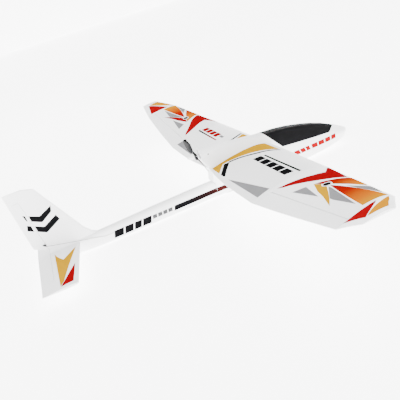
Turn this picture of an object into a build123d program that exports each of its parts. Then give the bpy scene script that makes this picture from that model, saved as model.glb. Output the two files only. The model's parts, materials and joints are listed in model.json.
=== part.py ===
from build123d import *
import math
import os

# Foam motor glider, millimetres.  +X towards the nose, +Y to port, +Z up.
# The belly touches Z = 0; the nose and the fin are equally far from X = 0.

os.makedirs("parts", exist_ok=True)

# ---------------------------------------------------------------- fuselage
FUSELAGE_STATIONS = [
    # x, bottom z, bottom half width, widest z, widest half width, roof half width, roof z
    (22, 1.5, 15.5, 80, 19.0, 15.5, 160.0),
    (80, 1.5, 16.8, 80, 24.0, 15.5, 152.0),
    (143, 1.5, 19.0, 80, 29.0, 17.0, 143.0),
    (200, 1.5, 23.0, 80, 33.0, 20.0, 134.5),
    (232, 1.5, 25.0, 80, 34.5, 23.0, 131.0),
    (270, 2.0, 27.0, 76, 35.5, 25.0, 127.5),
    (310, 3.0, 28.0, 70, 36.0, 24.0, 121.5),
    (355, 5.0, 27.0, 62, 35.0, 22.0, 111.5),
    (393, 7.0, 25.0, 56, 33.5, 20.0, 100.5),
    (430, 9.5, 22.0, 50, 30.5, 17.0, 87.0),
    (465, 14.5, 17.0, 44, 25.0, 12.5, 70.0),
    (487, 20.0, 12.0, 41, 18.5, 8.5, 58.5),
    (500, 27.0, 7.0, 40, 11.5, 5.5, 50.5),
    (507, 34.0, 2.5, 40, 4.5, 2.4, 45.0),
]
BOOM_STATIONS = [
    # x, bottom z, top z, half width
    (62, 1.6, 53.0, 16.4),
    (-40, 1.4, 52.5, 16.0),
    (-160, 1.2, 51.0, 15.2),
    (-260, 1.0, 48.5, 14.0),
    (-340, 2.5, 47.0, 12.0),
    (-400, 7.0, 47.0, 9.0),
    (-440, 14.0, 47.0, 6.6),
    (-456, 20.0, 46.5, 5.2),
]
SHELL_WALL = 6.0
CABIN_X = (243.0, 448.0)
PYLON_REAR = [(34.0, 52.0), (42.0, 90.0), (21.0, 126.0)]

# Canopy hatch: parting line in side view, rear top, rear bottom, front bottom, front top.
HATCH_LINE = [(225.0, 131.0), (266.0, 80.0), (432.0, 61.5), (458.0, 73.5)]
HATCH_GAP = 0.4

# -------------------------------------------------------------------- wing
WING_STATIONS = [
    # distance from centre, leading edge x and z, trailing edge x and z, thickness ratio
    (36.0, 233.0, 100.0, 34.0, 92.0, 0.110),
    (90.0, 232.8, 100.5, 28.0, 92.0, 0.110),
    (140.0, 232.2, 101.0, 24.5, 92.0, 0.109),
    (200.0, 231.5, 101.3, 23.5, 92.0, 0.108),
    (310.0, 229.6, 102.5, 24.0, 92.5, 0.107),
    (430.0, 205.1, 121.7, 26.9, 114.0, 0.105),
    (520.0, 185.7, 137.5, 31.0, 130.5, 0.103),
    (628.0, 161.4, 158.0, 37.5, 150.0, 0.100),
    (662.0, 133.0, 174.0, 39.5, 169.0, 0.090),
    (698.0, 104.5, 188.0, 43.0, 187.0, 0.070),
]
CAMBER = 0.028
CAMBER_AT = 0.40
EDGE_THICKNESS = 1.3

AILERON_IN = (72.5, 327.0)
AILERON_OUT = (66.0, 628.0)
SURFACE_GAP = 0.45
BEVEL_DEG = 32.0

JOINER_R = 4.0
JOINER_X = 192.0
JOINER_Z = 102.0
JOINER_HALF = 240.0
PIN_R = 2.0
PIN_X = 78.0
PIN_Z = 97.0
TONGUE_X = (95.0, 125.0)
TONGUE_Z = (98.0, 101.0)
SCREW_Y = 30.0
SCREW_Z = (91.2, 93.6, 103.0)
WING_SERVO = (131.0, 398.0)
WING_ARM_R = 13.0

# -------------------------------------------------------------------- tail
FIN_SECTIONS = [
    # z, leading edge x, trailing edge x, thickness
    (38.0, -300.0, -491.7, 11.0),
    (47.0, -316.0, -492.3, 10.8),
    (55.0, -333.0, -492.9, 10.5),
    (75.0, -350.0, -494.5, 10.0),
    (150.0, -389.0, -500.4, 8.5),
    (238.0, -434.8, -507.0, 6.5),
]
FIN_TOP = [(-415.0, 221.0), (-428.0, 225.0), (-459.0, 234.0), (-520.0, 235.3)]
RUDDER_LOW = (-457.5, 0.0, 49.0)
RUDDER_HIGH = (-476.0, 0.0, 206.0)
RUDDER_HEEL = [(-440.0, 39.5), (-457.0, 49.0), (-500.0, 72.2), (-500.0, 20.0), (-440.0, 20.0)]

STAB_Z = 38.0
STAB_SECTIONS = [
    # y, leading edge x, trailing edge x, thickness
    (0.0, -375.0, -495.0, 8.6),
    (219.0, -405.0, -492.0, 6.0),
]
STAB_SCREWS = [(-392.0, 10.0), (-430.0, 17.0)]
ELEVATOR_X = -460.0
ELEVATOR_HALF = 163.0

# ------------------------------------------------------- control linkages
ROD_Y = 12.9
ROD_Z = 28.0
ROD_R = 0.5
TUBE_R = 1.5
TUBE_BORE = 0.9
TUBE_FRONT = 226.0
TUBE_REAR = -351.0
TUBE_BEND = -306.0
RUDDER_ROD_REAR = (-459.7, 68.0)
HORN_LIFT = 3.4
ELEVATOR_HORN_R = 10.0
SERVO_ARM_R = 12.0
SERVO_AXIS_Z = 16.0
ELEVATOR_SERVO_X = 262.0
RUDDER_SERVO_X = 294.0

# -------------------------------------------------------------- propulsion
MOTOR_Z = 143.5
MOTOR_BAY_R = 15.5
MOTOR_BAY_X = 42.0
CAN_R = 13.5
SHAFT_R = 1.5
PROP_X = 10.0
PIN_OFFSET = 13.0
BLADE_TIP = 89.0
BLADE_ROLL_DEG = 15.0


def solid_of(shape):
    """The single solid (or the largest one) of a boolean result."""
    solids = shape.solids()
    return max(solids, key=lambda s: s.volume)


def pieces_of(shape, smallest=1.0):
    """All solids bigger than a crumb, as one compound."""
    return Compound(children=[s for s in shape.solids() if s.volume > smallest])


def box_between(low, high):
    size = [h - l for l, h in zip(low, high)]
    mid = [(h + l) / 2 for l, h in zip(low, high)]
    return Pos(*mid) * Box(*size)


def rod(start, end, radius):
    """Round bar from one point to another."""
    a = Vector(*start)
    b = Vector(*end)
    frame = Plane(origin=a, z_dir=(b - a).normalized())
    return extrude(frame * Circle(radius), (b - a).length)


def side_prism(points, half_width):
    """Side-view (x, z) outline thickened equally to both sides."""
    outline = Polyline(*[(x, 0, z) for x, z in points], close=True)
    face = make_face(outline)
    return extrude(face, half_width, dir=(0, 1, 0), both=True)


def plan_prism(points, z_low, z_high):
    outline = Polyline(*[(x, y, z_low) for x, y in points], close=True)
    return extrude(make_face(outline), z_high - z_low, dir=(0, 0, 1))


def mirrored(shape):
    return mirror(shape, about=Plane.XZ)


# ---------------------------------------------------------------- fuselage
def body_ring(x, z0, w0, zm, wm, wt, z1):
    """Closed fuselage section with a rounded keel, bulging sides and a narrow roof."""
    height = z1 - z0
    low_z = z0 + 0.11 * height
    high_z = z1 - 0.085 * height
    right = [
        (0.0, z0),
        (0.55 * w0, z0 + 0.004 * height),
        (0.88 * w0, z0 + 0.03 * height),
        (w0 + 0.12 * (wm - w0), low_z),
        (w0 + 0.72 * (wm - w0), (low_z + zm) / 2),
        (wm, zm),
        (wt + 0.66 * (wm - wt), (high_z + zm) / 2),
        (wt, high_z),
        (0.80 * wt, z1 - 0.018 * height),
        (0.42 * wt, z1 - 0.003 * height),
        (0.0, z1),
    ]
    left = [(-y, z) for y, z in reversed(right[1:-1])]
    points = [(x, y, z) for y, z in right + left]
    return Wire([Spline(*points, periodic=True)])


def boom_ring(x, z0, z1, half_width):
    """Rounded, slightly square boom section."""
    mid = (z0 + z1) / 2
    half = (z1 - z0) / 2
    points = []
    for k in range(16):
        a = 2 * math.pi * k / 16
        c = math.cos(a)
        s = math.sin(a)
        y = half_width * math.copysign(abs(c) ** 0.74, c)
        z = mid + half * math.copysign(abs(s) ** 0.74, s)
        points.append((x, y, z))
    return Wire([Spline(*points, periodic=True)])


def fuselage_solid():
    """Whole foam fuselage, boom, pylon and root fairings, before it is hollowed."""
    body = Solid.make_loft([body_ring(*s) for s in FUSELAGE_STATIONS], True)
    rear = [(-60.0, 52.0)] + PYLON_REAR + [(-60.0, 126.0)]
    low_rear = [(0.0, -5.0), (40.0, -5.0), (40.0, 53.0), (0.0, 53.0)]
    body = body - side_prism(rear, 60) - side_prism(low_rear, 60)
    boom = Solid.make_loft([boom_ring(*s) for s in BOOM_STATIONS], True)
    return body + boom


def cabin_cavity():
    """Hollow of the cabin, the same shape as the outside, one wall inside it."""
    rings = []
    for x, z0, w0, zm, wm, wt, z1 in FUSELAGE_STATIONS:
        if CABIN_X[0] - 20 < x < CABIN_X[1] + 20:
            wall = SHELL_WALL
            rings.append(body_ring(x, z0 + wall + 1, w0 - wall, zm, wm - wall, wt - wall, z1 - wall))
    first = Solid.make_loft(rings, True)
    return first & box_between((CABIN_X[0], -50, 0), (CABIN_X[1], 50, 140))


def fin_ring(z, lead, trail, thickness):
    """Symmetric fin section."""
    chord = lead - trail
    side = []
    for f, t in ((0.0, 0.0), (0.012, 0.32), (0.05, 0.62), (0.14, 0.88), (0.30, 1.0),
                 (0.50, 0.90), (0.75, 0.52), (1.0, 0.13)):
        side.append((lead - f * chord, thickness / 2 * t, z))
    back = [(x, -y, zz) for x, y, zz in reversed(side[1:])]
    nose = Spline(*(back + side))
    close = Line(side[-1], back[0])
    return Wire([nose, close])


def fin_solid():
    fin = Solid.make_loft([fin_ring(*s) for s in FIN_SECTIONS], True)
    above = FIN_TOP + [(-520.0, 300.0), (-415.0, 300.0)]
    return fin - side_prism(above, 30)


def stab_ring(y, lead, trail, thickness):
    chord = lead - trail
    side = []
    for f, t in ((0.0, 0.0), (0.012, 0.36), (0.05, 0.68), (0.14, 0.92), (0.30, 1.0),
                 (0.50, 0.90), (0.75, 0.54), (1.0, 0.16)):
        side.append((lead - f * chord, y, STAB_Z + thickness / 2 * t))
    back = [(x, yy, 2 * STAB_Z - z) for x, yy, z in reversed(side[1:])]
    nose = Spline(*(back + side))
    close = Line(side[-1], back[0])
    return Wire([nose, close])


def stab_solid():
    centre, tip = STAB_SECTIONS
    port = [centre, tip]
    half = Solid.make_loft([stab_ring(*s) for s in port], True)
    round_cut = plan_prism([(-380, 226), (-402, 213), (-408, 221), (-420, 230)], 20, 60)
    half = half - round_cut
    return half + mirrored(half)


def hinged_surface(whole, start, end, aft, reach, top=30.0):
    """Cut a control surface out of a foil.

    The moving part has a V-shaped nose whose apex is the hinge axis.
    Returns the fixed part and the moving part.
    """
    a = Vector(*start)
    b = Vector(*end)
    axis = (b - a).normalized()
    length = (b - a).length
    frame = Plane(origin=a, x_dir=Vector(*aft), z_dir=axis)
    bay = frame * Pos(reach / 2 - SURFACE_GAP / 2, 0, length / 2)
    bay = bay * Box(reach + SURFACE_GAP, 2 * top, length)
    slope = top * math.tan(math.radians(BEVEL_DEG))
    nose = Polyline((0, 0), (slope, top), (reach - 1, top), (reach - 1, -top), (slope, -top), close=True)
    moving = extrude(frame * make_face(nose), length - 2 * SURFACE_GAP * 1.5)
    moving = Location(axis * SURFACE_GAP * 1.5) * moving
    return whole - bay, whole & moving


# -------------------------------------------------------------------- wing
def camber_line(f):
    p = CAMBER_AT
    if f < p:
        return CAMBER / p ** 2 * (2 * p * f - f * f)
    return CAMBER / (1 - p) ** 2 * ((1 - 2 * p) + 2 * p * f - f * f)


def half_thickness(f, ratio):
    """Four-digit thickness form, half height over chord."""
    root = 0.2969 * math.sqrt(f)
    rest = -0.1260 * f - 0.3516 * f ** 2 + 0.2843 * f ** 3 - 0.1036 * f ** 4
    return 5 * ratio * (root + rest)


def wing_point(station, f, side):
    y, lead_x, lead_z, trail_x, trail_z, ratio = station
    chord = lead_x - trail_x
    edge = EDGE_THICKNESS / 2 * f
    z = lead_z + (trail_z - lead_z) * f
    z += chord * camber_line(f) + side * (chord * half_thickness(f, ratio) + edge)
    return (lead_x - f * chord, y, z)


def wing_ring(station):
    steps = [0.5 - 0.5 * math.cos(math.pi * k / 12) for k in range(13)]
    upper = [wing_point(station, f, 1) for f in reversed(steps)]
    lower = [wing_point(station, f, -1) for f in steps[1:]]
    skin = Spline(*(upper + lower))
    return Wire([skin, Line(lower[-1], upper[0])])


def station_at(y):
    """Wing station interpolated between the listed ones."""
    for near, far in zip(WING_STATIONS, WING_STATIONS[1:]):
        if near[0] <= y <= far[0]:
            t = (y - near[0]) / (far[0] - near[0])
            return tuple(n + t * (f - n) for n, f in zip(near, far))
    return WING_STATIONS[0] if y < WING_STATIONS[0][0] else WING_STATIONS[-1]


def wing_mid(x, y):
    """Point on the wing's mean surface."""
    station = station_at(y)
    f = (station[1] - x) / (station[1] - station[3])
    top = wing_point(station, f, 1)
    low = wing_point(station, f, -1)
    return (x, y, (top[2] + low[2]) / 2)


def wing_under(x, y):
    station = station_at(y)
    f = (station[1] - x) / (station[1] - station[3])
    return wing_point(station, f, -1)


def wing_solid():
    rings = [wing_ring(s) for s in WING_STATIONS]
    return Solid.make_loft(rings, True)


def root_fairing():
    """Foam stub of wing section moulded on the fuselage side."""
    base = WING_STATIONS[0]
    outer = (base[0] - 0.3,) + base[1:]
    inner = (5.0, base[1] - 1.0, base[2] - 1.0, base[3] + 2.0, base[4] + 1.0, base[5] * 1.06)
    return Solid.make_loft([wing_ring(inner), wing_ring(outer)], True)


def hinge_line(y):
    """Aileron hinge axis at a distance from the centre line."""
    inner = wing_mid(*AILERON_IN)
    outer = wing_mid(*AILERON_OUT)
    t = (y - inner[1]) / (outer[1] - inner[1])
    return tuple(i + t * (o - i) for i, o in zip(inner, outer))


def aileron_axis():
    a = Vector(*hinge_line(AILERON_IN[1]))
    b = Vector(*hinge_line(AILERON_OUT[1]))
    return (b - a).normalized()


def aileron_arm_frame(origin):
    """Plane whose normal is the aileron axis and whose x points down, away from the wing."""
    axis = aileron_axis()
    down = Vector(0, 0, -1)
    down = (down - axis * down.dot(axis)).normalized()
    return Plane(origin=origin, x_dir=down, z_dir=axis)


def servo_pivot():
    """Centre of the aileron servo's output shaft."""
    x, y = WING_SERVO
    low = wing_under(x, y)
    return (x, y + 12.5, low[2] + 7.0)


def horn_pivot():
    return hinge_line(WING_SERVO[1] + 12.5)


def lever(frame, hole_r, thickness, slot_out=0.0, pin_r=0.8):
    """Flat arm in a plane, pivot boss at the origin, hole or slot out along x."""
    tip = hole_r + slot_out + 2.2
    plate = Pos(tip / 2, 0, 0) * Box(tip, 3.4, thickness)
    plate = plate + Cylinder(3.4, thickness)
    hole = Pos(hole_r, 0, 0) * Cylinder(pin_r, thickness * 3)
    if slot_out > 0:
        hole = hole + Pos(hole_r + slot_out / 2, 0, 0) * Box(slot_out, 2 * pin_r, thickness * 3)
        hole = hole + Pos(hole_r + slot_out, 0, 0) * Cylinder(pin_r, thickness * 3)
    return frame * (plate - hole)


# ------------------------------------------------------------ wing details
def wing_parts():
    """Port wing: panel, aileron, servo, arm, horn, pushrod, spar, tongue."""
    panel = wing_solid()
    start = hinge_line(AILERON_IN[1])
    end = hinge_line(AILERON_OUT[1])
    axis = aileron_axis()
    aft = Vector(-1, 0, 0)
    aft = (aft - axis * aft.dot(axis)).normalized()
    panel, aileron = hinged_surface(panel, start, end, tuple(aft), 80.0)

    x, y = WING_SERVO
    low_z = wing_under(x, y)[2]
    pocket = box_between((x - 17, y - 11.6, low_z - 12), (x + 8.5, y + 11.6, low_z + 12.6))
    arm_slot = box_between((x - 14, y + 11.6, low_z - 12), (x + 8.5, y + 17.5, low_z + 11))
    panel = panel - pocket - arm_slot
    body = box_between((x - 16.6, y - 11, low_z + 0.6), (x + 7.4, y + 10.6, low_z + 12.6))
    lugs = box_between((x - 16.9, y + 4.5, low_z + 0.6), (x + 8.4, y + 6.5, low_z + 12.4))
    centre = Plane(origin=servo_pivot(), z_dir=(0, 1, 0))
    boss = centre * Pos(0, 0, -1.95) * Cylinder(2.2, 0.7)
    servo = body + lugs + boss

    pivot = Vector(*servo_pivot())
    arm = lever(aileron_arm_frame(servo_pivot()), WING_ARM_R, 1.6)
    hinge = Vector(*horn_pivot())
    frame = aileron_arm_frame(horn_pivot())
    down = frame.x_dir
    back = axis.cross(down)
    if back.X > 0:
        back = -back
    outline = [(2.2, 8.8), (2.2, 3.4), (6.6, 3.4), (11.5, -1.9), (16.0, -1.9), (16.0, 2.0)]
    sign = 1 if frame.y_dir.dot(back) > 0 else -1
    face = make_face(Polyline(*[(d, sign * b) for d, b in outline], close=True))
    horn = extrude(frame * face, 0.8, both=True)
    horn = horn - frame * Pos(WING_ARM_R, 0, 0) * Cylinder(0.8, 6)
    horn = solid_of(horn - aileron)

    side = axis * 2.0
    near = pivot + down * WING_ARM_R
    far = hinge + down * WING_ARM_R
    rod_bar = rod(tuple(near + side), tuple(far + side), 0.6)
    bends = Pos(*(near + side)) * Sphere(0.6) + Pos(*(far + side)) * Sphere(0.6)
    pins = rod(tuple(near + side), tuple(near - axis * 1.5), 0.6)
    pins = pins + rod(tuple(far + side), tuple(far - axis * 1.5), 0.6)
    pushrod = rod_bar + bends + pins

    spar_in = wing_mid(172, 300)
    spar_out = wing_mid(116, 606)
    spar = rod(spar_in, spar_out, 2.0) - rod(spar_in, spar_out, 1.2)
    panel = panel - rod(spar_in, spar_out, 2.0)
    panel = panel - joiner_bar() - pin_bar() - tongue_solid()
    return {
        "wing_panel": solid_of(panel),
        "aileron": solid_of(aileron),
        "aileron_servo": servo,
        "aileron_servo_arm": arm,
        "aileron_horn": horn,
        "aileron_pushrod": pushrod,
        "wing_spar": spar,
        "wing_tongue": tongue_solid() - screw_bar(),
    }


def joiner_bar():
    return rod((JOINER_X, -JOINER_HALF, JOINER_Z), (JOINER_X, JOINER_HALF, JOINER_Z), JOINER_R)


def pin_bar():
    return rod((PIN_X, 20, PIN_Z), (PIN_X, 55, PIN_Z), PIN_R)


def tongue_solid():
    return box_between((TONGUE_X[0], 17, TONGUE_Z[0]), (TONGUE_X[1], 62, TONGUE_Z[1]))


def screw_bar():
    """Shank of the wing retention screw, up through the root fairing into the tongue."""
    x = (TONGUE_X[0] + TONGUE_X[1]) / 2
    return rod((x, SCREW_Y, SCREW_Z[1]), (x, SCREW_Y, SCREW_Z[2]), 1.5)


def wing_screw():
    x = (TONGUE_X[0] + TONGUE_X[1]) / 2
    low = SCREW_Z[0]
    head = rod((x, SCREW_Y, low), (x, SCREW_Y, SCREW_Z[1]), 3.0)
    slot = box_between((x - 4, SCREW_Y - 0.4, low - 1), (x + 4, SCREW_Y + 0.4, low + 0.9))
    return head - slot + screw_bar()


# ------------------------------------------------------------ tail details
def tail_parts():
    fin = fin_solid()
    fin = fin - side_prism([(-456.5, 30), (-456.5, 49), (-457.5, 49.4), (-512, 78), (-512, 30)], 30)
    low = Vector(*RUDDER_LOW)
    high = Vector(*RUDDER_HIGH)
    axis = (high - low).normalized()
    aft = Vector(-1, 0, 0)
    aft = (aft - axis * aft.dot(axis)).normalized()
    start = low - axis * 6.0
    fixed, rudder = hinged_surface(fin, tuple(start), tuple(high), tuple(aft), 60.0)
    stab, elevator = hinged_surface(
        stab_solid(), (ELEVATOR_X, -ELEVATOR_HALF, STAB_Z), (ELEVATOR_X, ELEVATOR_HALF, STAB_Z),
        (-1, 0, 0), 60.0)
    fixed = solid_of(fixed)
    rudder = solid_of(rudder)
    elevator = solid_of(elevator)

    pin_x, pin_z = RUDDER_ROD_REAR
    along = (pin_z + HORN_LIFT - low.Z) / axis.Z
    centre = low + axis * along
    frame = Plane(origin=centre, x_dir=(0, -1, 0), z_dir=axis)
    sign = 1 if frame.y_dir.X < 0 else -1
    outline = [(17.2, -1.7), (17.2, 2.2), (2.0, 9.5), (2.0, 3.4), (10.0, -1.9)]
    face = make_face(Polyline(*[(v, sign * u) for v, u in outline], close=True))
    horn = extrude(frame * face, 0.8, both=True)
    horn = horn - slot_cut(frame, ROD_Y, 1.7)
    rudder_horn = solid_of(horn - rudder)

    frame = Plane(origin=(ELEVATOR_X, ROD_Y - 1.9, STAB_Z), x_dir=(0, 0, -1), z_dir=(0, 1, 0))
    sign = 1 if frame.y_dir.X < 0 else -1
    outline = [(14.2, -1.7), (14.2, 2.2), (2.0, 9.5), (2.0, 3.4), (7.5, -1.9)]
    face = make_face(Polyline(*[(v, sign * u) for v, u in outline], close=True))
    horn = extrude(frame * face, 0.8, both=True)
    horn = horn - slot_cut(frame, ELEVATOR_HORN_R, 1.4)
    elevator_horn = solid_of(horn - elevator)

    screws = []
    for x, keel in STAB_SCREWS:
        shank = rod((x, 0, keel + 2.6), (x, 0, 41.0), 1.5)
        head = rod((x, 0, keel), (x, 0, keel + 2.6), 2.8)
        screws.append(shank + head)
    return fixed, rudder, stab, elevator, rudder_horn, elevator_horn, screws


def slot_cut(frame, start_r, length):
    """Slot running outwards from a pin hole, so a straight rod can drive a swinging arm."""
    cut = Pos(start_r, 0, 0) * Cylinder(0.9, 6)
    cut = cut + Pos(start_r + length / 2, 0, 0) * Box(length, 1.8, 6)
    cut = cut + Pos(start_r + length, 0, 0) * Cylinder(0.9, 6)
    return frame * cut


# -------------------------------------------------------- control linkages
def rudder_rod_dir():
    x, z = RUDDER_ROD_REAR
    tail = Vector(x, -ROD_Y, z)
    mouth = Vector(TUBE_BEND, -ROD_Y, ROD_Z)
    return (tail - mouth).normalized()


def rudder_tube():
    bend = (TUBE_BEND, -ROD_Y, ROD_Z)
    step = rudder_rod_dir()
    length = (TUBE_BEND - TUBE_REAR) / -step.X
    mouth = tuple(Vector(*bend) + step * length)
    front = (TUBE_FRONT, -ROD_Y, ROD_Z)
    outer = rod(front, bend, TUBE_R) + rod(bend, mouth, TUBE_R) + Pos(*bend) * Sphere(TUBE_R)
    far = tuple(Vector(*mouth) + step * 5)
    bore = rod((TUBE_FRONT + 5, -ROD_Y, ROD_Z), bend, TUBE_BORE)
    bore = bore + rod(bend, far, TUBE_BORE) + Pos(*bend) * Sphere(TUBE_BORE)
    return outer, outer - bore


def elevator_tube():
    outer = rod((TUBE_FRONT, ROD_Y, ROD_Z), (TUBE_REAR, ROD_Y, ROD_Z), TUBE_R)
    bore = rod((TUBE_FRONT + 5, ROD_Y, ROD_Z), (TUBE_REAR - 5, ROD_Y, ROD_Z), TUBE_BORE)
    return outer, outer - bore


def rudder_linkage():
    """Rear rod, cable inside the tube and front link."""
    step = rudder_rod_dir()
    bend = Vector(TUBE_BEND, -ROD_Y, ROD_Z)
    front = bend + step * 8.0
    x, z = RUDDER_ROD_REAR
    tail = Vector(x, -ROD_Y, z)
    axis = (Vector(*RUDDER_HIGH) - Vector(*RUDDER_LOW)).normalized()
    # the rod runs just below the horn and turns up through its slot
    bar = rod(tuple(front), tuple(tail), ROD_R)
    pin = rod(tuple(tail), tuple(tail + axis * 6.4), ROD_R)
    rear_rod = bar + pin + Pos(*tail) * Sphere(ROD_R * 1.15)
    cable = rod((TUBE_FRONT - 2, -ROD_Y, ROD_Z), (TUBE_BEND + 1, -ROD_Y, ROD_Z), ROD_R)
    link = rod((TUBE_FRONT + 6, -ROD_Y, ROD_Z), (RUDDER_SERVO_X, -ROD_Y, ROD_Z), ROD_R)
    pin = rod((RUDDER_SERVO_X, -ROD_Y, ROD_Z), (RUDDER_SERVO_X, -ROD_Y + 3.2, ROD_Z), ROD_R)
    link = link + pin + Pos(RUDDER_SERVO_X, -ROD_Y, ROD_Z) * Sphere(ROD_R * 1.15)
    return rear_rod, cable, link


def elevator_linkage():
    bar = rod((ELEVATOR_X, ROD_Y, ROD_Z), (ELEVATOR_SERVO_X, ROD_Y, ROD_Z), ROD_R)
    for x in (ELEVATOR_X, ELEVATOR_SERVO_X):
        bar = bar + rod((x, ROD_Y, ROD_Z), (x, ROD_Y - 3.4, ROD_Z), ROD_R)
        bar = bar + Pos(x, ROD_Y, ROD_Z) * Sphere(ROD_R * 1.15)
    return bar


def servo_on_side(x, side):
    """Nine-gram servo lying down, output shaft pointing to one side."""
    z = SERVO_AXIS_Z
    body = box_between((x - 6, -11 * side, z - 5.8), (x + 17, 9.4 * side, z + 5.8)) if side > 0 else \
        box_between((x - 6, -9.4, z - 5.8), (x + 17, 11, z + 5.8))
    low, high = sorted((2.5 * side, 4.6 * side))
    lugs = box_between((x - 10.6, low, z - 5.7), (x + 21.6, high, z + 5.7))
    frame = Plane(origin=(x, 9.4 * side, z), z_dir=(0, side, 0))
    boss = frame * Pos(0, 0, 0.45) * Cylinder(3.4, 0.9)
    return body + lugs + boss


def servo_lever(x, side):
    frame = Plane(origin=(x, 11.2 * side, SERVO_AXIS_Z), x_dir=(0, 0, 1), z_dir=(0, side, 0))
    return lever(frame, SERVO_ARM_R, 1.6, 1.8)


# -------------------------------------------------------------- propulsion
def ring_x(x0, x1, outer, inner=0.0):
    bar = rod((x0, 0, MOTOR_Z), (x1, 0, MOTOR_Z), outer)
    if inner > 0:
        bar = bar - rod((x0 - 1, 0, MOTOR_Z), (x1 + 1, 0, MOTOR_Z), inner)
    return bar


def nacelle():
    """Round bulge of the pod around the motor."""
    rings = []
    for x, r in ((22.0, 18.3), (30.0, 18.5), (60.0, 17.5), (115.0, 11.0)):
        rings.append(Wire([Edge.make_circle(r, Plane(origin=(x, 0, MOTOR_Z), z_dir=(1, 0, 0)))]))
    return Solid.make_loft(rings, True)


def motor_parts():
    plate = ring_x(42.0, 45.5, MOTOR_BAY_R, 4.4)
    stator = ring_x(28.5, 40.0, 11.4, 4.0)
    for k in range(12):
        a = math.radians(30 * k)
        slot = Pos(34, 0, MOTOR_Z) * Rot(k * 30, 0, 0) * Pos(0, 0, 9.0) * Box(20, 1.6, 5.5)
        stator = stator - slot
    bearing = ring_x(27.5, 42.0, 4.0, SHAFT_R + 0.06)
    flange = ring_x(40.0, 42.0, 10.5, 4.0)
    stator = stator + bearing + flange
    can = ring_x(26.0, 39.5, CAN_R, 12.3) + ring_x(25.0, 26.6, CAN_R, SHAFT_R)
    for k in range(6):
        hole = Pos(26, 0, MOTOR_Z) * Rot(k * 60, 0, 0) * Pos(0, 0, 8.2) * Rot(0, 90, 0) * Cylinder(2.6, 6)
        can = can - hole
    shaft = ring_x(-1.0, 43.5, SHAFT_R)
    screws = []
    for k in range(4):
        a = math.radians(45 + 90 * k)
        y = 7.6 * math.cos(a)
        z = MOTOR_Z + 7.6 * math.sin(a)
        screws.append(rod((45.5, y, z), (47.3, y, z), 2.0) + rod((40.4, y, z), (45.5, y, z), 1.2))
    for s in screws:
        plate = plate - s
        stator = stator - s
    return plate, stator, can, shaft, screws


def blade_frame(turn):
    """Frame at a blade pin: x outwards along the blade, z along the fold axis."""
    a = math.radians(BLADE_ROLL_DEG + turn)
    out = (0, math.cos(a), math.sin(a))
    fold = (0, -math.sin(a), math.cos(a))
    y = PIN_OFFSET * out[1]
    z = MOTOR_Z + PIN_OFFSET * out[2]
    return Plane(origin=(PROP_X, y, z), x_dir=out, z_dir=fold)


def blade_ring(frame, span, chord, thickness, pitch_deg, sweep):
    """Aerofoil outline across the blade; local y is along the shaft."""
    a = math.radians(pitch_deg)
    upper = [(1.0, 0.10), (0.72, 0.62), (0.42, 1.0), (0.16, 0.78), (0.0, 0.0)]
    lower = [(0.16, -0.30), (0.42, -0.34), (0.72, -0.26), (1.0, -0.10)]
    points = []
    for f, t in upper + lower:
        c = (f - 0.42) * chord + sweep
        h = t * thickness
        points.append((span, -c * math.sin(a) - h * math.cos(a), c * math.cos(a) - h * math.sin(a)))
    world = [frame.from_local_coords(Vector(*p)) for p in points]
    return Wire([Spline(*world), Line(world[-1], world[0])])


def blade(turn):
    frame = blade_frame(turn)
    rings = []
    for span, chord, thick, pitch, sweep in (
            (3.0, 5.6, 2.6, 60.0, 0.0), (11.0, 11.0, 2.3, 44.0, 0.3), (22.0, 18.0, 2.0, 34.0, 0.8),
            (36.0, 20.5, 1.7, 25.0, 1.0), (52.0, 17.5, 1.4, 19.0, 1.0), (66.0, 12.5, 1.1, 15.0, 1.2),
            (73.0, 8.0, 0.9, 13.0, 1.6), (BLADE_TIP - PIN_OFFSET, 3.0, 0.7, 12.0, 2.2)):
        rings.append(blade_ring(frame, span, chord, thick, pitch, sweep))
    airfoil = Solid.make_loft(rings, True)
    knuckle = frame * Cylinder(3.1, 6.0)
    return solid_of(airfoil + knuckle - frame * Cylinder(1.05, 12))


def yoke():
    """Hub with a fork for each blade."""
    hub = ring_x(PROP_X - 4.5, PROP_X + 4.5, 6.0)
    for turn in (0, 180):
        frame = blade_frame(turn)
        for side in (-1, 1):
            cheek = Pos(-3.5, 0, side * 4.5) * Box(9.0, 6.6, 2.4) + Pos(0, 0, side * 4.5) * Cylinder(3.3, 2.4)
            hub = hub + frame * cheek
    for turn in (0, 180):
        frame = blade_frame(turn)
        hub = hub - frame * Cylinder(3.6, 6.4) - frame * Cylinder(1.0, 14)
    return hub - ring_x(-10, 50, SHAFT_R)


def spinner():
    """Bullet fairing aft of the yoke, hollow at its base."""
    x0 = PROP_X - 4.5
    profile = [(x0, 0), (x0, 8.0), (x0 - 4, 7.9), (x0 - 9, 7.2), (x0 - 14, 5.7), (x0 - 18, 3.6), (x0 - 20, 0)]
    curve = Polyline((x0 - 20, 0, MOTOR_Z), (x0, 0, MOTOR_Z), (x0, 0, MOTOR_Z + 8.0))
    arc = Spline(*[(x, 0, MOTOR_Z + r) for x, r in profile[1:]])
    face = make_face(curve + arc)
    bullet = revolve(face, Axis((0, 0, MOTOR_Z), (1, 0, 0)), 360)
    return bullet - ring_x(-1.2, 50, SHAFT_R)


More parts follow.
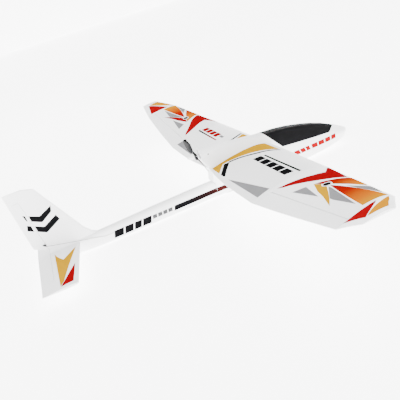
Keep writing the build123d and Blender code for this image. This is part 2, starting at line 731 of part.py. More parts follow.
# ------------------------------------------------------------------ cabin
def cabin_parts(body_outer):
    cavity = cabin_cavity()
    tray = box_between((318, -60, 36), (442, 60, 38)) & cavity
    strap = box_between((362, -18.4, 34.6), (380, 18.4, 65.6))
    strap = strap - box_between((350, -17.2, 35.8), (390, 17.2, 64.4))
    tray = tray - strap
    pack = box_between((322, -17, 38), (427, 17, 64.2))
    pack = fillet(pack.edges().filter_by(Axis.X), 3.0)
    speed = box_between((330, -12, 25), (368, 12, 35.9))
    speed = speed - strap
    fins = [box_between((333, y, 23.6), (357, y + 1.2, 25)) for y in (-9, -5, -1, 3, 7)]
    for f in fins:
        speed = speed + f
    receiver = box_between((388, -11, 24.5), (418, 11, 35.9))
    for y in (-7, -2, 3):
        receiver = receiver - box_between((386, y, 27), (391, y + 4, 33))
    skid = box_between((70, -8, 0), (286, 8, 3.0)) - body_outer
    bed = box_between((248, -60, 8.3), (318, 60, 10.15)) & cavity
    return tray, strap, pack, speed, receiver, solid_of(skid), bed


def motor_leads():
    wires = []
    for y0, y1 in ((-4.0, -6.0), (0.0, 0.0), (4.0, 6.0)):
        path = [
            (48.2, y0, MOTOR_Z - 6.0),
            (150.0, y0, 70.0),
            (246.0, y1, 62.0),
            (316.0, y1, 41.0),
            (316.0, y1, 31.0),
            (330.0, y1, 31.0),
        ]
        wire = rod(path[0], path[1], 0.9)
        for a, b in zip(path[1:], path[2:]):
            wire = wire + rod(a, b, 0.9) + Pos(*a) * Sphere(0.95)
        wires.append(wire)
    return wires


def magnets():
    """Magnet discs: front and rear, one pair in the hatch and one in the fuselage."""
    slope = Vector(266 - 225, 0, 80 - 131).normalized()
    normal = Vector(-slope.Z, 0, slope.X)
    rear = Vector(237.5, 0, 115.5)
    front = Vector(451.2, 0, 70.36)
    ramp = Vector(432.0 - 458.0, 0, 61.5 - 73.5).normalized()
    up = Vector(ramp.Z, 0, -ramp.X)
    in_hatch = [
        rod(tuple(rear + normal * 0.3), tuple(rear + normal * 2.3), 4.0),
        rod(tuple(front + up * 0.3), tuple(front + up * 1.8), 2.0),
    ]
    in_body = [
        rod(tuple(rear - normal * 0.9), tuple(rear - normal * 2.9), 4.0),
        rod(tuple(front - up * 0.9), tuple(front - up * 2.4), 2.0),
    ]
    return in_hatch, in_body


def hatch_region(gap):
    (x0, z0), (x1, z1), (x2, z2), (x3, z3) = HATCH_LINE
    reach = 20.0
    top = (x0 - reach * (x1 - x0) / (z0 - z1), z0 + reach)
    ahead = (2 * x3 - x2 + gap, 2 * z3 - z2)
    points = [(top[0] - gap, top[1]), (x1 - gap, z1 - gap), (x2 + gap / 2, z2 - gap), ahead,
              (ahead[0], top[1])]
    return side_prism(points, 60)


def write(name, shape):
    if isinstance(shape, (list, tuple)):
        shape = Compound(children=[solid_of(s) for s in shape])
    export_step(shape, f"parts/{name}.step")


def main():
    body = fuselage_solid() + nacelle()
    fairing = root_fairing()
    fixed_fin, rudder, stab, elevator, rudder_horn, elevator_horn, tail_screws = tail_parts()
    body = body + fairing + mirrored(fairing) + fixed_fin
    body = solid_of(body)
    outer = body
    wing = wing_parts()
    tray, strap, pack, speed, receiver, skid, bed = cabin_parts(outer)
    plate, stator, can, shaft, motor_screws = motor_parts()
    leads = motor_leads()
    hatch_mags, body_mags = magnets()
    rudder_outer, rudder_guide = rudder_tube()
    elevator_outer, elevator_guide = elevator_tube()
    stiff_outer = rod((222, 0, 22), (-330, 0, 22), 4.0)
    stiffener = stiff_outer - rod((230, 0, 22), (-340, 0, 22), 3.0)
    joiner = joiner_bar() - rod((JOINER_X, -300, JOINER_Z), (JOINER_X, 300, JOINER_Z), JOINER_R - 1)
    pod_screws = []
    for side in (-1, 1):
        shank = rod((43.8, 14.0 * side, MOTOR_Z - 4), (43.8, 17.2 * side, MOTOR_Z - 4), 1.0)
        head = rod((43.8, 17.2 * side, MOTOR_Z - 4), (43.8, 18.2 * side, MOTOR_Z - 4), 2.0)
        pod_screws.append(shank + head)
    plate = plate - pod_screws[0] - pod_screws[1]

    body = body - cabin_cavity() - ring_x(0, MOTOR_BAY_X, MOTOR_BAY_R) - plate
    body = body - ring_x(45.4, 48.0, 10.5)
    body = body - ring_x(MOTOR_BAY_X, 46.0, 5.0)
    for s in leads + body_mags + hatch_mags + pod_screws + tail_screws:
        body = body - s
    body = body - rudder_outer - elevator_outer - stiff_outer
    for side in (-1, 1):
        body = body - rod((220, ROD_Y * side, ROD_Z), (250, ROD_Y * side, ROD_Z), 2.2)
    rudder_servo = servo_on_side(RUDDER_SERVO_X, -1)
    elevator_servo = servo_on_side(ELEVATOR_SERVO_X, 1)
    body = body - rudder_servo - elevator_servo
    body = body - joiner_bar() - pin_bar() - mirrored(pin_bar())
    body = body - tongue_solid() - mirrored(tongue_solid())
    screw = wing_screw()
    screw_x = (TONGUE_X[0] + TONGUE_X[1]) / 2
    access = rod((screw_x, SCREW_Y, SCREW_Z[0] - 12), (screw_x, SCREW_Y, SCREW_Z[1]), 3.0)
    body = body - screw - mirrored(screw) - access - mirrored(access)
    for x, keel in STAB_SCREWS:
        body = body - rod((x, 0, -5), (x, 0, keel + 0.1), 3.4)
    body = body - stab - box_between((-470, -30, STAB_Z - 3.0), (-459, 30, STAB_Z + 3.0))
    hatch = solid_of(body & hatch_region(0.0))
    shell = body - hatch_region(HATCH_GAP)
    port = solid_of(shell & box_between((-520, 0, -5), (520, 60, 260)))
    starboard = solid_of(shell & box_between((-520, -60, -5), (520, 0, 260)))
    for s in tail_screws:
        stab = stab - s
    rear_rod, cable, front_link = rudder_linkage()

    write("fuselage_half_left", port)
    write("fuselage_half_right", starboard)
    write("canopy_hatch", hatch)
    write("hatch_magnets", hatch_mags)
    write("fuselage_magnets", body_mags)
    write("belly_skid", skid)
    write("battery_tray", tray)
    write("servo_tray", bed)
    write("battery_pack", pack)
    write("battery_strap", strap)
    write("speed_controller", speed)
    write("receiver", receiver)
    write("motor_leads", leads)
    write("boom_stiffener", stiffener)
    write("rudder_guide_tube", rudder_guide)
    write("elevator_guide_tube", elevator_guide)
    write("rudder_servo", rudder_servo)
    write("elevator_servo", elevator_servo)
    write("rudder_servo_arm", servo_lever(RUDDER_SERVO_X, -1))
    write("elevator_servo_arm", servo_lever(ELEVATOR_SERVO_X, 1))
    write("rudder_pushrod", rear_rod)
    write("rudder_cable", cable)
    write("rudder_front_link", front_link)
    write("elevator_pushrod", elevator_linkage())
    write("motor_mount_plate", plate)
    write("motor_mount_screws", motor_screws)
    write("motor_stator", stator)
    write("motor_can", can)
    write("motor_shaft", shaft)
    write("prop_yoke", yoke())
    write("spinner", spinner())
    for name, turn in (("prop_blade_a", 0), ("prop_blade_b", 180)):
        write(name, blade(turn))
    pins = [blade_frame(t) * Cylinder(1.0, 11.4) for t in (0, 180)]
    write("blade_pins", pins)
    write("pod_screws", pod_screws)
    write("wing_joiner_tube", joiner)
    write("wing_alignment_pins", [pin_bar(), mirrored(pin_bar())])
    write("wing_screws", [screw, mirrored(screw)])
    for name, shape in wing.items():
        write(name + "_left", shape)
        write(name + "_right", mirrored(shape))
    write("stabiliser", stab)
    write("elevator", elevator)
    write("elevator_horn", elevator_horn)
    write("rudder", rudder)
    write("rudder_horn", rudder_horn)
    write("stabiliser_screws", tail_screws)


main()
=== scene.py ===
import json
import math

import bpy
from mathutils import Matrix, Vector
from mathutils.bvhtree import BVHTree
from mathutils.geometry import delaunay_2d_cdt


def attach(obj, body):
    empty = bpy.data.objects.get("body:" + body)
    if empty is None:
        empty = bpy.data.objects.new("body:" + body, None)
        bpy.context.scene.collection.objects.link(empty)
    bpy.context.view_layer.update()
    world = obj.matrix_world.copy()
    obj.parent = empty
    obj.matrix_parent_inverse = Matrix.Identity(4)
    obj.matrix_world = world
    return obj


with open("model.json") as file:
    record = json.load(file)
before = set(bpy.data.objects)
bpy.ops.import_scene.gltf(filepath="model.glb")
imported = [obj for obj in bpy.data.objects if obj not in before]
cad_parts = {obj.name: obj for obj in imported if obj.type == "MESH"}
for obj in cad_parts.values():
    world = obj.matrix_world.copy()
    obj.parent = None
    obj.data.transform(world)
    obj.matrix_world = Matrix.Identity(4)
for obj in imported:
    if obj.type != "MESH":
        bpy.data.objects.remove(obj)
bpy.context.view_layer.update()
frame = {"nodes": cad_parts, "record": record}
NODES = frame["nodes"]
MM = 0.001
PORT = 1
STARBOARD = -1
SIDE_NAMES = {PORT: "left", STARBOARD: "right"}


# ------------------------------------------------------------------ materials
class Paint:
    """A small helper around one node material; noise scales are per metre."""

    def __init__(self, name, color, roughness, metallic=0.0, coat=0.0):
        self.material = bpy.data.materials.new(name)
        self.material.use_nodes = True
        self.tree = self.material.node_tree
        self.shader = self.tree.nodes["Principled BSDF"]
        self.color = color
        self.shader.inputs["Base Color"].default_value = (*color, 1.0)
        self.shader.inputs["Roughness"].default_value = roughness
        self.shader.inputs["Metallic"].default_value = metallic
        self.shader.inputs["Coat Weight"].default_value = coat
        self.coords = self.tree.nodes.new("ShaderNodeTexCoord")

    def node(self, kind, **values):
        made = self.tree.nodes.new(kind)
        for key, value in values.items():
            if key in made.inputs:
                made.inputs[key].default_value = value
            else:
                setattr(made, key, value)
        return made

    def link(self, out, into):
        self.tree.links.new(out, into)

    def noise(self, scale, detail=3.0):
        tex = self.node("ShaderNodeTexNoise", Scale=scale, Detail=detail, Roughness=0.55)
        self.link(self.coords.outputs["Object"], tex.inputs["Vector"])
        return tex.outputs["Fac"]

    def cells(self, scale):
        tex = self.node("ShaderNodeTexVoronoi", Scale=scale, feature="F1")
        self.link(self.coords.outputs["Object"], tex.inputs["Vector"])
        return tex.outputs["Distance"]

    def ramp(self, source, stops):
        made = self.node("ShaderNodeValToRGB")
        self.link(source, made.inputs["Fac"])
        band = made.color_ramp
        while len(band.elements) < len(stops):
            band.elements.new(0.5)
        for element, (place, color) in zip(band.elements, stops):
            element.position = place
            element.color = (*color, 1.0)
        return made.outputs["Color"]

    def vary(self, scale, amount):
        """Mottle the base colour by a share of itself."""
        low = tuple(c * (1 - amount) for c in self.color)
        high = tuple(min(1.0, c * (1 + amount)) for c in self.color)
        out = self.ramp(self.noise(scale), [(0.3, low), (0.7, high)])
        self.link(out, self.shader.inputs["Base Color"])

    def rough(self, scale, low, high):
        """Vary the roughness between two values."""
        out = self.ramp(self.noise(scale), [(0.3, (low,) * 3), (0.7, (high,) * 3)])
        self.link(out, self.shader.inputs["Roughness"])

    def bump(self, height, strength, distance, below=None):
        made = self.node("ShaderNodeBump", Strength=strength, Distance=distance)
        self.link(height, made.inputs["Height"])
        if below is not None:
            self.link(below, made.inputs["Normal"])
        self.link(made.outputs["Normal"], self.shader.inputs["Normal"])
        return made.outputs["Normal"]


BEADS_PER_METRE = 330.0
FILM_GLOSS = 0.32


def film_finish(p):
    """Finish of a printed film: no gloss of its own, and the foam's beads show through."""
    p.shader.inputs["Specular IOR Level"].default_value = 0.0
    p.rough(60.0, FILM_GLOSS * 0.85, FILM_GLOSS * 1.2)
    p.bump(p.cells(BEADS_PER_METRE), 0.06, 0.0003)
    return p.material


def foam_paint(name, color):
    """Moulded bead foam: fused beads a few millimetres across under a thin skin."""
    p = Paint(name, color, 0.42)
    p.vary(6.0, 0.012)
    p.rough(40.0, 0.36, 0.48)
    beads = p.bump(p.cells(BEADS_PER_METRE), 0.10, 0.0004)
    p.bump(p.noise(900.0, 4.0), 0.06, 0.0002, beads)
    return p.material


def print_paint(name, color):
    """Printed film of one colour."""
    p = Paint(name, color, FILM_GLOSS)
    p.vary(25.0, 0.03)
    return film_finish(p)


def fade_paint(name, stops, start, end):
    """Printed film whose colour runs along a line from start to end (metres)."""
    p = Paint(name, stops[0][1], FILM_GLOSS)
    origin = Vector(start)
    line = Vector(end) - origin
    move = p.node("ShaderNodeVectorMath", operation="SUBTRACT")
    p.link(p.coords.outputs["Object"], move.inputs[0])
    move.inputs[1].default_value = origin
    dot = p.node("ShaderNodeVectorMath", operation="DOT_PRODUCT")
    p.link(move.outputs["Vector"], dot.inputs[0])
    dot.inputs[1].default_value = line / line.length_squared
    p.link(p.ramp(dot.outputs["Value"], stops), p.shader.inputs["Base Color"])
    return film_finish(p)


def plastic_paint(name, color, roughness=0.4, grain=900.0, specular=0.5):
    p = Paint(name, color, roughness)
    p.shader.inputs["Specular IOR Level"].default_value = specular
    p.vary(30.0, 0.06)
    p.rough(120.0, roughness * 0.85, roughness * 1.15)
    p.bump(p.noise(grain, 2.0), 0.12, 0.0002)
    return p.material


def metal_paint(name, color, roughness=0.28):
    p = Paint(name, color, roughness, metallic=1.0)
    p.vary(80.0, 0.06)
    p.rough(260.0, roughness * 0.7, roughness * 1.4)
    p.bump(p.noise(1500.0, 2.0), 0.08, 0.0001)
    return p.material


def carbon_paint(name):
    p = Paint(name, (0.02, 0.02, 0.022), 0.3, coat=0.4)
    wave = p.node("ShaderNodeTexWave", Scale=260.0, Distortion=1.5)
    p.link(p.coords.outputs["Object"], wave.inputs["Vector"])
    out = p.ramp(wave.outputs["Fac"], [(0.35, (0.012, 0.012, 0.013)), (0.65, (0.05, 0.05, 0.055))])
    p.link(out, p.shader.inputs["Base Color"])
    p.bump(wave.outputs["Fac"], 0.1, 0.0002)
    return p.material


def wood_paint(name):
    p = Paint(name, (0.62, 0.44, 0.25), 0.6)
    wave = p.node("ShaderNodeTexWave", Scale=60.0, Distortion=6.0, Detail=3.0)
    p.link(p.coords.outputs["Object"], wave.inputs["Vector"])
    out = p.ramp(wave.outputs["Fac"], [(0.2, (0.5, 0.33, 0.17)), (0.8, (0.7, 0.52, 0.31))])
    p.link(out, p.shader.inputs["Base Color"])
    p.bump(wave.outputs["Fac"], 0.15, 0.0002)
    return p.material


WHITE_FOAM = foam_paint("white_foam", (0.84, 0.84, 0.845))
CANOPY = plastic_paint("canopy_black", (0.004, 0.004, 0.0045), 0.6, 500.0, 0.03)
BLACK_PLASTIC = plastic_paint("black_plastic", (0.006, 0.006, 0.007), 0.5, specular=0.06)
WHITE_PLASTIC = plastic_paint("white_plastic", (0.82, 0.82, 0.82), 0.3)
TUBE_PLASTIC = plastic_paint("tube_plastic", (0.62, 0.62, 0.6), 0.35)
SERVO_BLUE = plastic_paint("servo_blue", (0.03, 0.09, 0.3), 0.35)
BATTERY_WRAP = plastic_paint("battery_wrap", (0.03, 0.10, 0.26), 0.25)
CIRCUIT_WRAP = plastic_paint("circuit_wrap", (0.05, 0.05, 0.055), 0.3)
STRAP = plastic_paint("strap_fabric", (0.02, 0.02, 0.02), 0.85, 1600.0)
WIRE = plastic_paint("wire_black", (0.02, 0.02, 0.02), 0.5)
STEEL = metal_paint("steel", (0.55, 0.55, 0.56))
DARK_STEEL = metal_paint("dark_steel", (0.07, 0.07, 0.075), 0.4)
ALUMINIUM = metal_paint("aluminium", (0.75, 0.75, 0.76), 0.25)
MAGNET = metal_paint("magnet", (0.6, 0.6, 0.62), 0.2)
CARBON = carbon_paint("carbon")
PLYWOOD = wood_paint("plywood")

RED_INK = (0.20, 0.0, 0.003)
SCARLET_INK = (0.25, 0.004, 0.0)
ORANGE_INK = (0.42, 0.11, 0.0)
GOLD_INK = (0.42, 0.19, 0.0)
BLACK_INK = (0.004, 0.004, 0.0045)
RED = print_paint("print_red", RED_INK)
YELLOW = print_paint("print_yellow", (0.42, 0.215, 0.0))
AMBER = print_paint("print_amber", (0.42, 0.17, 0.0))
GREY = print_paint("print_grey", (0.17, 0.17, 0.175))
DARK_GREY = print_paint("print_dark_grey", (0.06, 0.06, 0.062))
BLACK = print_paint("print_black", BLACK_INK)
WHITE_PRINT = print_paint("print_white", (0.82, 0.82, 0.83))

# Colours along a fading print: (share of the way, colour).
RED_TO_GOLD = [(0.0, RED_INK), (0.35, SCARLET_INK), (0.8, ORANGE_INK), (1.0, GOLD_INK)]
GOLD_TO_RED = [(0.0, GOLD_INK), (0.4, ORANGE_INK), (1.0, RED_INK)]
BLACK_TO_BROWN = [(0.0, BLACK_INK), (0.5, (0.010, 0.004, 0.004)), (1.0, (0.035, 0.006, 0.005))]
RED_TO_BLACK = [(0.0, (0.25, 0.02, 0.03)), (1.0, (0.03, 0.03, 0.03))]
STRIPE = fade_paint("print_stripe", BLACK_TO_BROWN, (-0.05, 0, 0), (0.07, 0, 0))

BY_SLOT = {
    "white_foam": WHITE_FOAM,
    "canopy_black": CANOPY,
    "black_plastic": BLACK_PLASTIC,
    "white_plastic": WHITE_PLASTIC,
    "carbon": CARBON,
    "plywood": PLYWOOD,
    "steel": STEEL,
    "aluminium": ALUMINIUM,
    "magnet": MAGNET,
    "battery_wrap": BATTERY_WRAP,
    "strap_fabric": STRAP,
    "servo_blue": SERVO_BLUE,
    "circuit_wrap": CIRCUIT_WRAP,
    "wire_black": WIRE,
    "tube_plastic": TUBE_PLASTIC,
    "fork_metal": BLACK_PLASTIC,
}
# These look different from the rest of their slot.
BY_NODE = {
    "pod_screws": BLACK_PLASTIC,
    "rudder_pushrod": DARK_STEEL,
    "elevator_pushrod": DARK_STEEL,
    "aileron_pushrod_left": DARK_STEEL,
    "aileron_pushrod_right": DARK_STEEL,
}


def paint_cad_nodes():
    for part in frame["record"]["subparts"]:
        name = part["node"]
        materials = NODES[name].data.materials
        materials.clear()
        materials.append(BY_NODE.get(name, BY_SLOT[part["material_slot"]]))


# --------------------------------------------------------------------- prints
FILM_THICKNESS = 0.08
FILM_GAP = 0.10
CAST_HEIGHT = 0.5
CAST_SIDE = 0.3
MERGE_DISTANCE = 1e-7


def tree_of(names):
    """One ray-casting tree over several CAD nodes."""
    verts = []
    faces = []
    for name in names:
        mesh = NODES[name].data
        base = len(verts)
        verts.extend(v.co.copy() for v in mesh.vertices)
        faces.extend(tuple(base + i for i in p.vertices) for p in mesh.polygons)
    return BVHTree.FromPolygons(verts, faces)


def inside(point, outline):
    x, y = point
    hit = False
    for (x0, y0), (x1, y1) in zip(outline, outline[1:] + outline[:1]):
        if (y0 > y) != (y1 > y) and x < (x1 - x0) * (y - y0) / (y1 - y0) + x0:
            hit = not hit
    return hit


def filled(outline, step):
    """Triangles that fill a flat outline, no coarser than step."""
    points = []
    for a, b in zip(outline, outline[1:] + outline[:1]):
        count = max(1, math.ceil(math.dist(a, b) / step))
        points.extend(Vector(a).lerp(Vector(b), k / count) for k in range(count))
    rim = list(range(len(points)))
    edges = list(zip(rim, rim[1:] + rim[:1]))
    xs = [p[0] for p in outline]
    ys = [p[1] for p in outline]
    x = min(xs) + step / 2
    while x < max(xs):
        y = min(ys) + step / 2
        while y < max(ys):
            if inside((x, y), outline):
                points.append(Vector((x, y)))
            y += step
        x += step
    made = delaunay_2d_cdt(points, edges, [rim], 1, MERGE_DISTANCE)
    return made[0], made[2]


def decal(name, outline, surface, cast, body, paint, step, lift=0.0):
    """A printed patch: outline in millimetres, laid on a surface along one direction.

    Lift raises it, in millimetres, where it lies over another patch.
    """
    flat, triangles = filled([tuple(p) for p in outline], step)
    verts = []
    index = {}
    for k, p in enumerate(flat):
        start, direction = cast(p.x * MM, p.y * MM)
        hit, normal, _, _ = surface.ray_cast(start, direction)
        if hit is None:
            continue
        if normal.dot(direction) > 0:
            normal = -normal
        index[k] = len(verts)
        verts.append(hit + normal * (FILM_GAP + lift) * MM)
    faces = []
    for triangle in triangles:
        if all(k in index for k in triangle):
            corners = [index[k] for k in triangle]
            a, b, c = (verts[k] for k in corners)
            if (b - a).cross(c - a).dot(cast(0, 0)[1]) > 0:
                corners.reverse()
            faces.append(corners)
    mesh = bpy.data.meshes.new(name)
    mesh.from_pydata(verts, [], faces)
    mesh.update()
    obj = bpy.data.objects.new(name, mesh)
    bpy.context.scene.collection.objects.link(obj)
    thick = obj.modifiers.new("film", "SOLIDIFY")
    thick.thickness = FILM_THICKNESS * MM
    thick.offset = 1.0
    obj.data.materials.append(paint)
    for poly in mesh.polygons:
        poly.use_smooth = True
    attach(obj, body)


def from_above(x, y):
    return Vector((x, y, CAST_HEIGHT)), Vector((0, 0, -1))


def from_right(x, z):
    return Vector((x, -CAST_SIDE, z)), Vector((0, 1, 0))


def from_left(x, z):
    return Vector((x, CAST_SIDE, z)), Vector((0, -1, 0))


def arc(start, middle, end, count=8):
    """Points along the circle through three points, both ends included."""
    (ax, ay), (bx, by), (cx, cy) = start, middle, end
    twice_area = 2 * (ax * (by - cy) + bx * (cy - ay) + cx * (ay - by))
    a2 = ax * ax + ay * ay
    b2 = bx * bx + by * by
    c2 = cx * cx + cy * cy
    x = (a2 * (by - cy) + b2 * (cy - ay) + c2 * (ay - by)) / twice_area
    y = (a2 * (cx - bx) + b2 * (ax - cx) + c2 * (bx - ax)) / twice_area
    radius = math.dist((x, y), start)
    first = math.atan2(ay - y, ax - x)
    turn = math.atan2(cy - y, cx - x) - first
    turn = (turn + math.pi) % (2 * math.pi) - math.pi
    angles = [first + turn * k / count for k in range(count + 1)]
    return [(x + radius * math.cos(a), y + radius * math.sin(a)) for a in angles]


def leaning_block(start, end, low, high, lean):
    """Four corners of a block whose far edge is shifted along by lean."""
    return [(start, low), (end, low), (end + lean, high), (start + lean, high)]


def ring_outline(x, y, radius, count=20):
    steps = [2 * math.pi * k / count for k in range(count)]
    return [(x + radius * math.cos(a), y + radius * math.sin(a)) for a in steps]


# Outlines are (x, distance from the centre line) for the wings and the
# stabiliser, and (x, z) for the sides, all in millimetres.
WING_ROOT_PATCH = [
    (42, 21), (200, 27.5), (213, 32),
    *arc((214, 117), (140, 64), (86, 40)),
    (71, 37), (41, 77),
]
WING_ROOT_LINE = [
    *arc((87, 45), (109, 53.5), (130, 66)),
    *arc((160, 87), (182, 98.8), (213, 123)),
    *arc((212, 130), (187, 111), (157, 95)),
    *arc((137, 81), (111, 63.5), (85, 52)),
]
WING_ROOT_BAR = [(74, 41), (88, 51), (62, 86), (43, 115), (40.2, 109), (40.2, 91)]
INNER_TRIANGLE = [(40.5, 138), (79, 301), (43, 304)]
SWOOSH = [
    *arc((86, 329), (120, 343), (160, 366)),
    (187, 378),
    (212, 346), (222, 335), (226, 326),
    (207, 395),
    *arc((191, 453), (160, 426), (130, 387)),
    (110, 361), (95, 345),
]
SMALL_TRIANGLE = [(88, 397), (115, 411), (97, 487)]
SLIVER = [
    (130, 418), (136, 437), (133, 447),
    *arc((134, 461), (101, 519), (81, 549)),
    (100, 499), (111, 462), (122, 437),
]
EDGE_WEDGE = [
    (133, 420), (160, 439),
    *arc((195, 464), (190, 498), (180, 531)),
    (174, 534), (155, 489), (147, 466), (151, 455), (147, 447), (138, 443),
]
GREY_BLADE = [(134, 468), (133, 480), (113, 560), (104, 597), (99, 535), (100, 522)]
BIG_WEDGE = [
    *arc((140, 464), (156, 568), (158, 616)),
    *arc((105, 614), (121, 540), (140, 464))[:-1],
]
EDGE_BLADE = [
    *arc((152, 502), (160, 522), (176, 548)),
    *arc((176, 548), (172, 565), (161, 596))[1:],
    (154, 540),
]
TIP_TRIANGLE = [(53, 629), (127, 622), (63, 678)]
TIP_WEDGE = [
    *arc((152, 623), (115, 641), (67, 677)),
    (105, 681), (121, 661), (140, 640),
]
SPOT = (140.5, 453.0)
SPOT_RADIUS = 8.6
STAB_VEE = [
    (-447, 206), (-437, 188), (-418, 118), (-390, 28),
    *arc((-428, 75), (-438, 56), (-449, 20)),
]
STAB_BLADE = [(-446, 208), (-415, 204), (-402, 119), (-420, 155)]
BOOM_STRIPE = [(-100, 17.5), (77, 18.5), (68, 32.5), (-95, 32.5)]
BOOM_BLOCKS = [(-286, -258), (-254, -229), (-225, -204), (-200, -174)]
BOOM_BLOCK_Z = (11, 32.5)
BOOM_BLOCK_LEAN = 7
BOOM_SMALL_COUNT = 4
BOOM_SMALL_START = -166
BOOM_SMALL_PITCH = 16
BOOM_SMALL_LENGTH = 13
BOOM_SMALL_Z = (20, 31.5)
BOOM_SMALL_LEAN = 2
NOSE_BLOCK_Z = (35, 50)
NOSE_BLOCKS = [
    # rear end, front end, lean
    (304, 322, -6),
    (325, 341, -6),
    (344, 357, -6),
    (363, 384, -3),
    (387, 408, -2),
    (411, 431, -1),
    (434, 452, 0),
]
# The fin's mark is two plain chevrons, which run across the hinge onto the rudder.
MARK_LOW_FRONT = [(-443, 101), (-399, 124), (-404, 139), (-443, 119)]
MARK_LOW_REAR = [(-443, 101), (-443, 119), (-465, 130), (-464, 112)]
MARK_LOW_RUDDER = [(-472, 116), (-487, 124), (-482, 139), (-473, 134)]
MARK_TOP = [(-443, 151), (-406, 168), (-411, 152), (-443, 133), (-467, 145), (-468, 162)]
MARK_TOP_RUDDER = [(-476, 166), (-482, 169), (-478, 151), (-475, 149.5)]
TRIANGLE_STRIPE = [(46, 212), (51, 211), (60, 198), (70, 240), (77, 313), (68, 315), (60, 275)]
STARBOARD_RULE = [(160.5, 127), (166, 127), (169, 304), (162.5, 304)]
PORT_RULE = [(131, 154), (136, 153), (140, 320), (133, 319)]
BLOCK_GAP = 5.0

WING_TOP = {
    PORT: tree_of(["wing_panel_left", "fuselage_half_left"]),
    STARBOARD: tree_of(["wing_panel_right", "fuselage_half_right"]),
}
SIDE_SKIN = {
    PORT: tree_of(["fuselage_half_left", "elevator_guide_tube"]),
    STARBOARD: tree_of(["fuselage_half_right", "rudder_guide_tube"]),
}
SIDE_CAST = {PORT: from_left, STARBOARD: from_right}
STAB_TOP = tree_of(["stabiliser"])
FIN_SKIN = tree_of(["fuselage_half_left", "fuselage_half_right"])
RUDDER_SKIN = tree_of(["rudder"])
WING_STEP = 3.0
SIDE_STEP = 2.0
PORT_SHIFT = 6.0
INNER_SHIFT = 3.0
RING_WIDTH = 2.6


def mirrored(outline, side, shift=0.0):
    """A wing or stabiliser outline on its own side, moved out by shift."""
    return [(x, side * (y + shift)) for x, y in outline]


def on_wing(name, outline, side, paint, shift=0.0, lift=0.0):
    placed = mirrored(outline, side, shift)
    label = SIDE_NAMES[side]
    decal(f"{name}_{label}", placed, WING_TOP[side], from_above, "airframe", paint, WING_STEP, lift)


def wing_fade(name, stops, side, start, end):
    """Film whose colour runs outwards along one wing, between two distances in metres."""
    return fade_paint(name, stops, (0.0, side * start, 0.0), (0.0, side * end, 0.0))


def wing_decals(side):
    """The coloured trim on one wing; the two wings differ a little in colour."""
    shift = PORT_SHIFT if side == PORT else 0.0
    label = SIDE_NAMES[side]
    wedge_stops = GOLD_TO_RED if side == PORT else RED_TO_GOLD
    wedge = wing_fade(f"print_wedge_{label}", wedge_stops, side, 0.420, 0.530)
    big = wing_fade(f"print_big_wedge_{label}", RED_TO_GOLD, side, 0.480, 0.616)
    on_wing("root_patch", WING_ROOT_PATCH, side, YELLOW)
    on_wing("root_line", WING_ROOT_LINE, side, BLACK, lift=0.05)
    on_wing("root_bar", WING_ROOT_BAR, side, BLACK, lift=0.05)
    on_wing("inner_triangle", INNER_TRIANGLE, side, GREY, shift + INNER_SHIFT)
    on_wing("swoosh", SWOOSH, side, RED, shift)
    on_wing("small_triangle", SMALL_TRIANGLE, side, GREY, shift)
    on_wing("sliver", SLIVER, side, RED if side == PORT else YELLOW, shift)
    on_wing("edge_wedge", EDGE_WEDGE, side, wedge, shift)
    on_wing("grey_blade", GREY_BLADE, side, GREY, shift)
    on_wing("big_wedge", BIG_WEDGE, side, big, shift)
    on_wing("edge_blade", EDGE_BLADE, side, GREY, shift)
    on_wing("tip_triangle", TIP_TRIANGLE, side, RED, shift)
    on_wing("tip_wedge", TIP_WEDGE, side, AMBER, shift)
    ring = ring_outline(*SPOT, SPOT_RADIUS + RING_WIDTH)
    on_wing("spot_ring", ring, side, WHITE_PRINT, shift, lift=0.15)
    on_wing("spot", ring_outline(*SPOT, SPOT_RADIUS), side, BLACK, shift, lift=0.3)


def wing_block(start, end, rear, front, lean):
    """A block whose front edge is shifted along the span by lean."""
    return [(x, y) for y, x in leaning_block(start, end, rear, front, lean)]


def block_row(side, start, length, count, rear, front, lean, paint):
    """A row of like blocks along one wing, in place of lettering."""
    for k in range(count):
        near = start + k * (length + BLOCK_GAP)
        block = wing_block(near, near + length, rear, front, lean)
        on_wing(f"print_block_{k}", block, side, paint)


def starboard_print():
    """Black blocks with a thin rule."""
    block_row(STARBOARD, 116.0, 30.0, 5, 132.0, 155.0, 5.0, BLACK)
    on_wing("print_rule", STARBOARD_RULE, STARBOARD, BLACK)


def port_print():
    """Red blocks with a rule that runs from red to black, and a black stripe."""
    block_row(PORT, 183.0, 28.5, 4, 144.0, 166.0, -2.0, RED)
    on_wing("print_small", wing_block(146, 172, 152, 162, 3.0), PORT, GREY)
    rule = wing_fade("print_rule_fade", RED_TO_BLACK, PORT, 0.155, 0.270)
    on_wing("print_rule", PORT_RULE, PORT, rule)
    on_wing("triangle_stripe", TRIANGLE_STRIPE, PORT, BLACK, lift=0.1)


def on_side(name, outline, skin, side, paint, body="airframe"):
    decal(f"{name}_{SIDE_NAMES[side]}", outline, skin, SIDE_CAST[side], body, paint, SIDE_STEP)


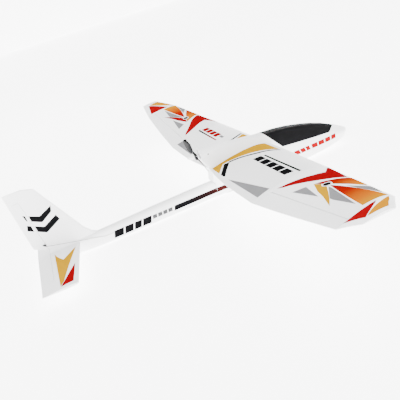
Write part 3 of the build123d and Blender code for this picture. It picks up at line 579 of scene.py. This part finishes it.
def side_decals(side):
    """Print on one side of the fuselage, the fin and the stabiliser."""
    skin = SIDE_SKIN[side]
    on_side("boom_stripe", BOOM_STRIPE, skin, side, STRIPE)
    for k, (start, end) in enumerate(BOOM_BLOCKS):
        block = leaning_block(start, end, *BOOM_BLOCK_Z, BOOM_BLOCK_LEAN)
        on_side(f"boom_block_{k}", block, skin, side, BLACK)
    for k in range(BOOM_SMALL_COUNT):
        start = BOOM_SMALL_START + BOOM_SMALL_PITCH * k
        block = leaning_block(start, start + BOOM_SMALL_LENGTH, *BOOM_SMALL_Z, BOOM_SMALL_LEAN)
        on_side(f"boom_small_{k}", block, skin, side, DARK_GREY)
    for k, (start, end, lean) in enumerate(NOSE_BLOCKS):
        on_side(f"nose_block_{k}", leaning_block(start, end, *NOSE_BLOCK_Z, lean), skin, side, RED)
    for k, outline in enumerate((MARK_LOW_FRONT, MARK_LOW_REAR, MARK_TOP)):
        on_side(f"fin_mark_{k}", outline, FIN_SKIN, side, BLACK)
    for k, outline in enumerate((MARK_LOW_RUDDER, MARK_TOP_RUDDER)):
        on_side(f"rudder_mark_{k}", outline, RUDDER_SKIN, side, BLACK, "rudder")
    for name, outline, paint in (("stab_vee", STAB_VEE, YELLOW), ("stab_blade", STAB_BLADE, RED)):
        placed = mirrored(outline, side)
        label = SIDE_NAMES[side]
        decal(f"{name}_{label}", placed, STAB_TOP, from_above, "airframe", paint, WING_STEP)


# ------------------------------------------------------------ camera and room
# The place is in metres and the angles are in degrees.
CAMERA_PLACE = Vector((-0.3099, -1.2164, 0.5657))
CAMERA_AZIMUTH = -13.627
CAMERA_ELEVATION = 23.942
CAMERA_ROLL = -17.602
LENS_MM = 41.67
SENSOR_MM = 36.0
FARTHEST_SEEN = 200.0


def camera():
    a = math.radians(CAMERA_AZIMUTH)
    e = math.radians(CAMERA_ELEVATION)
    r = math.radians(CAMERA_ROLL)
    back = Vector((math.sin(a) * math.cos(e), -math.cos(a) * math.cos(e), math.sin(e)))
    right = (-back).cross(Vector((0, 0, 1))).normalized()
    up = right.cross(-back)
    x = right * math.cos(r) + up * math.sin(r)
    y = up * math.cos(r) - right * math.sin(r)
    data = bpy.data.cameras.new("camera")
    data.lens = LENS_MM
    data.sensor_width = SENSOR_MM
    data.clip_end = FARTHEST_SEEN
    obj = bpy.data.objects.new("camera", data)
    bpy.context.scene.collection.objects.link(obj)
    turn = Matrix((x, y, back)).transposed().to_4x4()
    obj.matrix_world = Matrix.Translation(CAMERA_PLACE) @ turn
    bpy.context.scene.camera = obj


PALE = (0.92, 0.92, 0.92)
WHITE_GLOW = (1.0, 1.0, 1.0, 1.0)
FLOOR_REACH = 60.0
FLOOR_GLOW = 5.2
WALL_RADIUS = 45.0
WALL_HEIGHT = 13.0
WALL_SIDES = 64
WALL_GLOW = 3.0
SKY_GLOW = 2.0


def stage_piece(name, corners, faces, glow):
    """A pale, softly glowing piece of the studio, which isn't part of the object."""
    mesh = bpy.data.meshes.new(name)
    mesh.from_pydata(corners, [], faces)
    obj = bpy.data.objects.new(name, mesh)
    bpy.context.scene.collection.objects.link(obj)
    p = Paint(f"{name}_pale", PALE, 0.9)
    p.shader.inputs["Emission Color"].default_value = WHITE_GLOW
    p.shader.inputs["Emission Strength"].default_value = glow
    p.vary(3.0, 0.004)
    mesh.materials.append(p.material)


def floor():
    corners = [(x * FLOOR_REACH, y * FLOOR_REACH, 0) for x, y in ((-1, -1), (1, -1), (1, 1), (-1, 1))]
    stage_piece("floor", corners, [(0, 1, 2, 3)], FLOOR_GLOW)


def backdrop():
    """Round wall that stands on the floor, so that no view shows the floor's edge."""
    ring = ring_outline(0.0, 0.0, WALL_RADIUS, WALL_SIDES)
    corners = [(x, y, z) for z in (0.0, WALL_HEIGHT) for x, y in ring]
    faces = []
    for k in range(WALL_SIDES):
        after = (k + 1) % WALL_SIDES
        faces.append((k, after, WALL_SIDES + after, WALL_SIDES + k))
    stage_piece("backdrop", corners, faces, WALL_GLOW)


def sky():
    world = bpy.data.worlds.new("studio")
    world.use_nodes = True
    background = world.node_tree.nodes["Background"]
    background.inputs["Color"].default_value = WHITE_GLOW
    background.inputs["Strength"].default_value = SKY_GLOW
    bpy.context.scene.world = world


def area_light(name, place, target, size, power):
    data = bpy.data.lights.new(name, "AREA")
    data.energy = power
    data.shape = "DISK"
    data.size = size
    obj = bpy.data.objects.new(name, data)
    bpy.context.scene.collection.objects.link(obj)
    obj.location = place
    obj.rotation_euler = (Vector(target) - Vector(place)).to_track_quat("-Z", "Y").to_euler()


paint_cad_nodes()
for wing_side in (PORT, STARBOARD):
    wing_decals(wing_side)
    side_decals(wing_side)
starboard_print()
port_print()
camera()
floor()
backdrop()
sky()
area_light("key", place=(-0.5, 1.6, 3.0), target=(0, 0, 0.1), size=2.6, power=90.0)
area_light("fill", place=(-2.2, -2.0, 1.6), target=(0, 0, 0.1), size=2.0, power=10.0)
